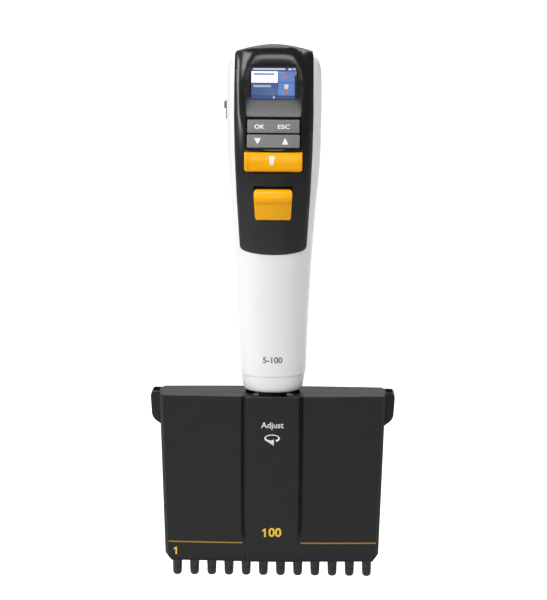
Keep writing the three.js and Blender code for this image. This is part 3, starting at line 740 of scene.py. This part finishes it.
def lettering(name, words, size, x, z, ground, material, body, slot, stretch=1.0, weight=0.0):
    """Words printed on a surface that faces the user; size is the height of a capital, in mm."""
    deselect()
    bpy.ops.object.text_add(rotation=(math.pi / 2, 0, 0))
    text = bpy.context.object
    text.name = name
    text.data.body = words
    text.data.align_x = "CENTER"
    text.data.align_y = "CENTER"
    text.data.size = size / CAPITAL_SHARE * MM
    text.data.offset = weight * MM
    text.data.resolution_u = 4
    bpy.ops.object.convert(target="MESH")
    printed = bpy.context.object
    printed.name = name
    bpy.ops.object.transform_apply(location=True, rotation=True, scale=True)
    edit()
    pick_all()
    resize(stretch, 1, 1)
    move(x, PRINT_Y, z)
    leave()
    lay_on(printed, ground)
    finish(printed, material, body, slot)


def flat_print(name, outline, ground, material, body, slot):
    """A printed patch with an outline of points in the front view."""
    deselect()
    bpy.ops.mesh.primitive_circle_add(vertices=len(outline), radius=MM, fill_type="NGON")
    patch = settle(name)
    for vertex, (x, z) in zip(patch.data.vertices, outline):
        vertex.co = mm(x, PRINT_Y, z)
    edit()
    pick_all()
    bpy.ops.mesh.quads_convert_to_tris()
    bpy.ops.mesh.subdivide(number_cuts=3)
    if pick("FACE", lambda c, n: n.y > 0):
        bpy.ops.mesh.flip_normals()
    leave()
    lay_on(patch, ground)
    finish(patch, material, body, slot)


KEY_BEVEL = 0.45
OK_ESC_SIDE = [(-22.2, 224.75), (-21.5, 227.9), (-20.55, 231.2), (-17.9, 231.2), (-19.2, 224.75)]
ARROW_SIDE = [(-24.3, 217.6), (-23.45, 220.7), (-22.5, 223.95), (-19.5, 223.95), (-21.3, 217.6)]
ok_esc_key = sketch_prism("ok_esc_key_cap", OK_ESC_SIDE, 0, -12.95, 12.95, KEY_BEVEL, 3)
finish(ok_esc_key, satin_grey, "ok_esc_rocker", "key_grey", "ok_esc_key")
arrow_key = sketch_prism("arrow_key_cap", ARROW_SIDE, 0, -13.1, 13.1, KEY_BEVEL, 3)
finish(arrow_key, satin_grey, "arrow_rocker", "key_grey", "arrow_key")
LEGEND_SIZE, LEGEND_Z = 1.95, 227.75
lettering("ok_words", "OK", LEGEND_SIZE, -7.0, LEGEND_Z, ok_esc_key, white_ink, "ok_esc_rocker",
          "shell_white", 1.2, 0.08)
lettering("esc_words", "ESC", LEGEND_SIZE, 5.1, LEGEND_Z, ok_esc_key, white_ink, "ok_esc_rocker",
          "shell_white", 1.35, 0.06)
flat_print("arrow_down", [(-9.6, 222.4), (-6.1, 222.4), (-7.85, 219.3)], arrow_key, white_ink, "arrow_rocker",
           "shell_white")
flat_print("arrow_up", [(4.2, 219.3), (7.5, 219.3), (5.85, 222.4)], arrow_key, white_ink, "arrow_rocker",
           "shell_white")

# Start bar: a wide orange ABS key that swings on a steel pin behind the face, pressed by the thumb to start
# each step. A shallow panel with a printed tip marks where to press.
orange_abs = moulded("satin_orange_abs", "#ffb900", "#fdae00", (0.25, 0.33), 0.5, 0.006, specular=0.24)


def bend(start, control, end, steps=6):
    """Points along a curve that leaves one point towards a control point and comes into another."""
    ring = []
    for step in range(steps + 1):
        t = step / steps
        ring.append(tuple((1 - t) ** 2 * a + 2 * t * (1 - t) * b + t * t * c
                          for a, b, c in zip(start, control, end)))
    return ring


BAR_SIDE = [
    (-23.6, 215.3), (-24.6, 214.95), (-25.2, 214.0), (-25.65, 212.4), (-25.85, 210.6), (-25.8, 208.8),
    (-25.5, 207.3), (-25.0, 206.3), (-24.2, 205.75), (-21.4, 205.75), (-21.4, 210.9), (-15.2, 210.9),
    (-15.2, 215.3),
]
PRESS_AREA_SIDE = [
    (-28, 207.2), (-25.2, 207.2), (-25.5, 208.8), (-25.52, 210.6), (-25.32, 212.4), (-24.87, 214.1),
    (-24.1, 215.9), (-28, 215.9),
]
start_bar = sketch_prism("start_bar_key", BAR_SIDE, 0, -14.6, 14.6)


def mirrored(right_half):
    """A closed outline from its right half, drawn from the top down."""
    return right_half + [(-x, z) for x, z in reversed(right_half)]


BAR_FRONT = bend((13.9, 215.4), (14.4, 215.4), (14.4, 214.9))
BAR_FRONT += bend((14.4, 207.5), (14.4, 205.7), (12.6, 205.7))
cut(start_bar, sketch_prism("bar_front", mirrored(BAR_FRONT), 1, -40, 0), "INTERSECT")
use(start_bar, "BEVEL", width=0.4 * MM, segments=2, limit_method="ANGLE", angle_limit=math.radians(50))
cut(start_bar, bar("start_plunger", (-2, -21.8, 207.4), (2, -12.3, 210.4)), "UNION")
cut(start_bar, sketch_prism("start_press_area", PRESS_AREA_SIDE, 0, -12.7, 12.7))
cut(start_bar, round_bar("start_pin_hole", 1.05, (-17, -17.6, 213.3), (17, -17.6, 213.3)))
finish(start_bar, orange_abs, "start_lever", "button_orange", "start_bar")
TIP_MARK = [(-2.15, 213.6), (0.75, 213.6), (0.2, 209.6), (-0.05, 209.1), (-1.35, 209.1), (-1.6, 209.6)]
flat_print("start_tip_mark", TIP_MARK, start_bar, white_ink, "start_lever", "shell_white")

# Ejector lever: an orange ABS thumb piece with a lip to pull down on, on a stem that runs in a slot of the
# face. Below the lip its face slopes back towards the foot, where the ball of the thumb rests.
LEVER_SIDE = [
    (-23.1, 196.95), (-25.2, 196.9), (-26.6, 196.35), (-27.6, 195.4), (-28.15, 194.1), (-28.35, 192.6),
    (-28.25, 191.4), (-27.8, 190.7), (-26.6, 190.5), (-26.3, 189.4), (-25.5, 187.0), (-24.4, 184.2),
    (-23.2, 181.5), (-22.6, 181.4), (-22.9, 187), (-23.1, 194.6),
]
ejector_lever = sketch_prism("ejector_thumb_piece", LEVER_SIDE, 0, -10, 10)
LEVER_FRONT = bend((7.3, 197.1), (9.55, 197.1), (9.55, 194.9))
LEVER_FRONT += bend((8.95, 183.2), (8.85, 181.35), (7.3, 181.35))
cut(ejector_lever, sketch_prism("lever_front", mirrored(LEVER_FRONT), 1, -40, 0), "INTERSECT")
use(ejector_lever, "BEVEL", width=0.4 * MM, segments=2, limit_method="ANGLE", angle_limit=math.radians(45))
cut(ejector_lever, bar("ejector_stem", (-5.6, -23.5, 186.8), (5.6, -12.8, 195)), "UNION")
finish(ejector_lever, orange_abs, "ejector_lever", "button_orange", "ejector_button")

# Finger rest: a black hook screwed to the back of the handle, for the first finger, by which the pipette
# also hangs on its stand. One thick moulding with all its edges well rounded for the hand.
satin_black = moulded("spark_eroded_black_abs", "#1a1a1a", "#151515", (0.38, 0.48), 0.25, 0.012,
                      specular=0.36)
hook_ring = [(17.4, 204.1), (19.3, 205)] + bend((20.2, 226), (20.6, 232), (25, 232)) + [(31, 232.1)]
hook_ring += bend((36, 232), (38.6, 232), (39.4, 225)) + bend((39.4, 225), (41.6, 224.4), (42.3, 226))[1:]
hook_ring += bend((42.3, 226), (43.4, 237.2), (36, 237.5))[1:] + bend((27, 238.5), (20.4, 239.4), (19.8, 245))
hook_ring += [(17.4, 245.3)]
HOOK_HALF = 9.9
hook = sketch_prism("finger_hook", hook_ring, 0, -HOOK_HALF, HOOK_HALF)
take(hook)
edit()
# The hook narrows towards the handle: half width up to a depth.
for half, reach in ((8.0, 20.3), (9.2, 25.5)):
    pick("VERT", lambda c, n: c.y < reach and abs(c.x) > half)
    resize(half / HOOK_HALF, 1, 1)
leave()
use(hook, "BEVEL", width=1.3 * MM, segments=3, limit_method="ANGLE", angle_limit=math.radians(50))
finish(hook, satin_black, "handle", "cover_black", "finger_rest", angle=40)

# Charging-port cover: a soft grey elastomer flap let into the side of the handle, with a ribbed tab to pull.
soft_grey = moulded("soft_grey_elastomer", "#77787a", "#6c6d6f", (0.55, 0.7), 0.2, 0.02)
flap = bar("port_flap_cover", (-24.55, 0.3, 229.5), (-23.2, 6.7, 239.1), 0.5, 3)
tab = bar("port_flap_tab", (-25.4, 1.5, 234.9), (-24.1, 5.5, 238.5), 0.45, 3)
RIB_PITCH = 1.1
ribs = []
for i in range(3):
    foot = 235.4 + i * RIB_PITCH
    ribs.append(bar("port_flap_rib", (-25.5, 1.9, foot), (-25.0, 5.1, foot + 0.5), 0.15))
join(flap, tab, *ribs)
finish(flap, soft_grey, "port_flap", "cover_rubber", "port_cover")

# Manifold front cover: satin black ABS, 2 mm thick, with a raised middle column that runs down between two
# grooves and sinks into the face above the printed rule.
TOP_Z, FOOT_Z = 89.25, 1.85
SPLIT_Y, SPLIT_GAP = -3.7, 0.15
BLOCK_HALF, BLOCK_DEPTH = 58, 30
COLUMN_HALF, GROOVE_HALF = 13.8, 15.4
BOW_START, BOW_POWER = 0.05, 1.6
CORNER_CHAMFER = 1.7
GROOVE_DEPTH = 1.1
# Half width, depth at the ends, depth of the side panels and depth of the column, at the top and the foot.
COVER_TOP = {"half": 57.9, "end": 10.7, "side": 13.5, "column": 15.0}
COVER_FOOT = {"half": 55.3, "end": 8.0, "side": 9.8, "column": 10.3}
REAR_TOP = {"half": 57.9, "end": 11.7, "side": 13.9, "column": 13.9}
REAR_FOOT = {"half": 55.3, "end": 8.0, "side": 9.4, "column": 9.4}
# Share of the step between side panels and column that stands at each height.
STEP_ROWS = [(12, 0.0), (13.4, 0.3), (15.4, 0.75), (18, 1.0), (86.6, 1.0)]


def between(low, high, key, z):
    share = (z - FOOT_Z) / (TOP_Z - FOOT_Z)
    return low[key] + (high[key] - low[key]) * share


def standing(z):
    """How much of the column's step stands at a height."""
    heights = [FOOT_Z] + [row for row, _ in STEP_ROWS] + [TOP_Z]
    shares = [0.0] + [part for _, part in STEP_ROWS] + [1.0]
    for (a, b), (p, q) in zip(zip(heights, heights[1:]), zip(shares, shares[1:])):
        if a <= z <= b + 0.001:
            return p + (q - p) * (z - a) / (b - a)
    return 1.0


def cover_blank(name, top, foot, sign):
    """The outside of one cover: a block cut into rows and columns, each moved to its depth, open behind."""
    near, far = SPLIT_Y + sign * SPLIT_GAP, sign * BLOCK_DEPTH
    block = bar(name, (-1, min(near, far), FOOT_Z), (1, max(near, far), TOP_Z))
    take(block)
    edit()
    pick("VERT", lambda c, n: True)
    resize(BLOCK_HALF, 1, 1)
    columns = [0] + ([12.4, 13.7, 14.2, 15.2, 15.7] if sign < 0 else [])
    columns += [24, 36, 48, 56.3]
    slice_at(0, [x * side for x in columns for side in (-1, 1)])
    slice_at(2, [row for row, share in STEP_ROWS] + [4, 8, 24, 36, 50, 64, 76, 84])
    pick_all()
    bpy.ops.mesh.remove_doubles(threshold=TOUCH * MM)
    leave()
    for vertex in block.data.vertices:
        x, y, z = vertex.co / MM
        if y * sign > 20:
            side = between(foot, top, "side", z)
            end = between(foot, top, "end", z)
            depth = side + (end - side) * max(0, abs(x) / BLOCK_HALF - BOW_START) ** BOW_POWER
            if abs(x) > 57:
                depth -= CORNER_CHAMFER
            if sign < 0 and abs(x) < COLUMN_HALF:
                depth += (between(foot, top, "column", z) - side) * standing(z)
            elif sign < 0 and abs(x) < GROOVE_HALF:
                depth -= GROOVE_DEPTH * standing(z)
            vertex.co.y = sign * depth * MM
        if abs(x) > 20:
            vertex.co.x = x / BLOCK_HALF * between(foot, top, "half", z) * MM
        elif z < 20 and abs(x) > 12:
            vertex.co.x = x * (1 - 0.07 * (20 - z) / 10) * MM
    take(block)
    edit()
    pick("FACE", lambda c, n: (c.y * sign < near * sign + 0.2 and abs(n.y) > 0.9) or n.z < -0.9)
    bpy.ops.mesh.delete(type="FACE")
    leave()
    use(block, "BEVEL", width=0.85 * MM, segments=1, limit_method="ANGLE", angle_limit=math.radians(60))
    use(block, "SOLIDIFY", thickness=1.8 * MM, offset=-1)
    return block


CORNER = [(52.6, -1), (62, -1), (62, 7.4), (56.6, 5.6), (55.0, 4.2), (53.4, 2.4)]
NECK_HOLE, CUP, CUP_WALL, CUP_FLOOR = 7.8, 14.1, 0.6, 85.3


def cut_cover(cover, sign):
    """Clips the lower corners and sinks the round well that the handle's foot turns over."""
    for side in (-1, 1):
        cut(cover, sketch_prism("corner_cut", [(x * side, z) for x, z in CORNER], 1, -30, 30))
    cup = round_bar("neck_cup", CUP + CUP_WALL, (0, 0, CUP_FLOOR - 0.7), (0, 0, TOP_Z - 0.3), 64)
    if sign < 0:
        cut(cup, bar("behind_split", (-20, SPLIT_Y - SPLIT_GAP, 80), (20, 20, 95)))
    else:
        cut(cup, bar("before_split", (-20, -20, 80), (20, SPLIT_Y + SPLIT_GAP, 95)))
    cut(cover, cup, "UNION")
    cut(cover, round_bar("neck_recess", CUP, (0, 0, CUP_FLOOR), (0, 0, 95), 64))
    cut(cover, round_bar("neck_hole", NECK_HOLE, (0, 0, 80), (0, 0, 95), 48))


front_cover = cover_blank("manifold_front_moulding", COVER_TOP, COVER_FOOT, -1)
cut_cover(front_cover, -1)
finish(front_cover, satin_black, "manifold", "cover_black", "manifold_front_cover", angle=28)

# Manifold rear cover: the other half of the housing, screwed on from behind, with a wing at each shoulder to
# press the manifold down by on a rack of tips. Each wing is dished on top.
rear_cover = cover_blank("manifold_rear_moulding", REAR_TOP, REAR_FOOT, 1)
WING = [(56.4, 70.5)] + bend((56.6, 70.5), (57.6, 72.4), (59.4, 73.4))
WING += bend((59.4, 73.4), (62.2, 75.4), (62.35, 78))[1:]
WING += bend((62.9, 86.6), (62.95, 89.1), (61, 89.25)) + [(56.4, 89.25)]
DISH_X, DISH_HALF = 60, 1.7
for side in (-1, 1):
    wing = sketch_prism("wing", [(x * side, z) for x, z in WING], 1, -3.4, 8.6, 0.8, 3, 40)
    x = side * DISH_X
    cut(wing, bar("wing_dish", (x - DISH_HALF, -1.9, 83), (x + DISH_HALF, 7.1, 92), 0.9, 3))
    cut(rear_cover, wing, "UNION")
COVER_SCREW_X, COVER_SCREW_Z = 40.5, 26
for side in (-1, 1):
    x = side * COVER_SCREW_X
    cut(rear_cover, round_bar("screw_recess", 2.45, (x, 9.9, COVER_SCREW_Z), (x, 20, COVER_SCREW_Z), 32))
cut_cover(rear_cover, 1)
finish(rear_cover, satin_black, "manifold", "cover_black", "manifold_rear_cover", angle=28)

# Printing on the front cover: the rule across the foot, the first channel's number, the volume in
# microlitres, and the word and turning arrow that tell the user the manifold swivels.
RULE_Z, RULE_WIDTH, RULE_CELLS = 10.9, 0.75, 24
for name, left, right in (("rule_left", -53.6, -15.2), ("rule_right", 15.0, 53.9)):
    deselect()
    bpy.ops.mesh.primitive_grid_add(x_subdivisions=RULE_CELLS, y_subdivisions=1, size=MM,
                                    rotation=(math.pi / 2, 0, 0))
    rule = settle(name)
    edit()
    pick("VERT", lambda c, n: True)
    resize(right - left, 1, RULE_WIDTH)
    move((left + right) / 2, PRINT_Y, RULE_Z)
    leave()
    lay_on(rule, front_cover)
    finish(rule, gold_ink, "manifold", "button_orange")


def figure_one(name, left, foot, tall):
    """A bold figure one: an upright with a flag at its top left."""
    wide, stem, flag = tall * 0.42, tall * 0.2, tall * 0.26
    right, top = left + wide, foot + tall
    outline = [(right, foot), (right, top), (right - stem * 0.8, top),
               (right - stem * 1.4, top - flag * 0.45), (left, top - flag * 0.75),
               (left, top - flag * 1.45), (right - stem, top - flag * 1.1), (right - stem, foot)]
    flat_print(name, outline, front_cover, orange_ink, "manifold", "button_orange")


figure_one("number_one", -50.9, 4.0, 4.0)
figure_one("number_hundred_one", -5.0, 14.2, 4.7)
lettering("number_hundred_zeros", "00", 4.6, 1.65, 16.55, front_cover, orange_ink, "manifold",
          "button_orange", 1.0, 0.2)
lettering("adjust_word", "Adjust", 3.0, 0.1, 74.3, front_cover, white_ink, "manifold", "shell_white",
          1.0, 0.04)
# The turning arrow is an open oval band with a head at its end.
BAND_STEPS, BAND_START, BAND_SWEEP = 28, -58, 330
BAND_HALF, BAND_RISE, BAND_Z = 4.0, 2.1, 67.4
turning = []
for step in range(BAND_STEPS):
    angle = math.radians(BAND_START + step * BAND_SWEEP / (BAND_STEPS - 1))
    turning.append((BAND_HALF * math.cos(angle), BAND_Z + BAND_RISE * math.sin(angle)))
inner = [(x * 0.8, BAND_Z + 0.3 + (z - BAND_Z) * 0.62) for x, z in reversed(turning)]
flat_print("turn_ring", turning + inner, front_cover, white_ink, "manifold", "shell_white")
flat_print("turn_arrow", [(-1.9, 65.3), (0.9, 67.0), (0.9, 63.6)], front_cover, white_ink, "manifold",
           "shell_white")
lettering("volume_range", "5-100", 3.0, 0.0, 108.3, front_shell, grey_ink, "handle", "key_grey", 1.0, 0.1)

# Nozzles: twelve turned black cones, 9 mm apart, each with a fine groove that grips the tip, a bore up its
# middle and a shoulder that seats it in the cylinder block.
BORE_Z = -6
CHANNELS, PITCH = 12, 9
# Height and radius, from the top of the bore round the rim and up the outside.
NOZZLE_RINGS = [
    (BORE_Z, 0.55), (-9.1, 0.6), (-9.2, 0.8), (-9.2, 1.1), (-9.1, 1.5), (-8.75, 1.95), (-8.2, 2.26),
    (-7.3, 2.4), (-4.9, 2.48), (-4.8, 2.34), (-4.4, 2.34), (-4.3, 2.5), (2.8, 2.68), (3.2, 3.0),
    (5.8, 3.0), (5.85, 2.5), (12.2, 2.5),
]
nozzle_black = moulded("turned_black_polymer", "#1d1d1e", "#161617", (0.28, 0.36), 0.3, 0.01)
nozzle = raise_rings("nozzle_cone", [(z, r, r, r) for z, r in NOZZLE_RINGS], 32)
take(nozzle)
edit()
pick("EDGE", lambda c, n: abs(c.z - BORE_Z) < TOUCH and math.hypot(c.x, c.y) > 0.3)
bpy.ops.mesh.edge_face_add()
face_outwards()
leave()
for number in range(CHANNELS):
    twin = copy_of(nozzle, "tip_cone_%02d" % (number + 1))
    take(twin)
    edit()
    pick_all()
    move((number - (CHANNELS - 1) / 2) * PITCH, 0, 0)
    leave()
    finish(twin, nozzle_black, "manifold", "nozzle_black", "nozzle_%02d" % (number + 1), angle=40)
bpy.data.objects.remove(nozzle, do_unlink=True)


# Works inside the shells: steel, aluminium, board, cell and seals keep the shape they have and take a finish
# of their own.
def metal(name, pale, deep, rough, lines_mm):
    """Machined metal: fine turning lines that catch the light."""
    material, shader = new_material(name)
    spot = add_node(material, "ShaderNodeTexCoord").outputs["Object"]
    wave = {"Scale": 0.3 / (lines_mm * MM), "Distortion": 1.5, "bands_direction": "Z"}
    lines = add_node(material, "ShaderNodeTexWave", wave, {"Vector": spot})
    tone = add_node(material, "ShaderNodeMix", {"data_type": "RGBA", 6: srgb(deep), 7: srgb(pale)},
                    {0: lines.outputs["Fac"]})
    relief = add_node(material, "ShaderNodeBump", {"Distance": 0.003 * MM}, {"Height": lines.outputs["Fac"]})
    material.node_tree.links.new(tone.outputs[2], shader.inputs["Base Color"])
    material.node_tree.links.new(relief.outputs["Normal"], shader.inputs["Normal"])
    shader.inputs["Metallic"].default_value = 1.0
    shader.inputs["Roughness"].default_value = rough
    return material


FINISHES = {
    "steel": metal("drawn_stainless_steel", "#c9cacc", "#b4b6b8", 0.28, 0.4),
    "piston_steel": metal("ground_piston_steel", "#d3d4d6", "#c6c8cb", 0.12, 0.15),
    "aluminium": metal("machined_aluminium", "#c8c9cb", "#b8babd", 0.33, 0.5),
    "dark_plastic": moulded("black_acetal", "#202122", "#18191a", (0.35, 0.45), 0.3, 0.01),
    "cell_wrap": moulded("shrink_film_on_cell", "#2c5a9c", "#264f8c", (0.15, 0.25), 3, 0.05),
    "board_green": moulded("solder_resist_on_board", "#1f5a34", "#174a2a", (0.25, 0.4), 0.6, 0.02),
    "silicone_grey": moulded("moulded_silicone", "#9a9c9e", "#8e9092", (0.5, 0.65), 0.4, 0.01),
    "cover_rubber": soft_grey,
    "nozzle_black": nozzle_black,
    "cover_black": satin_black,
}
# The swivel neck is black acetal, whatever slot its node is in.
for label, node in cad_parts.items():
    slot_name = node.data.materials[0].name.split(".")[0]
    if label == "swivel_neck":
        slot_name = "dark_plastic"
    if not node.hide_render and slot_name in FINISHES:
        node.data.materials[0] = FINISHES[slot_name]
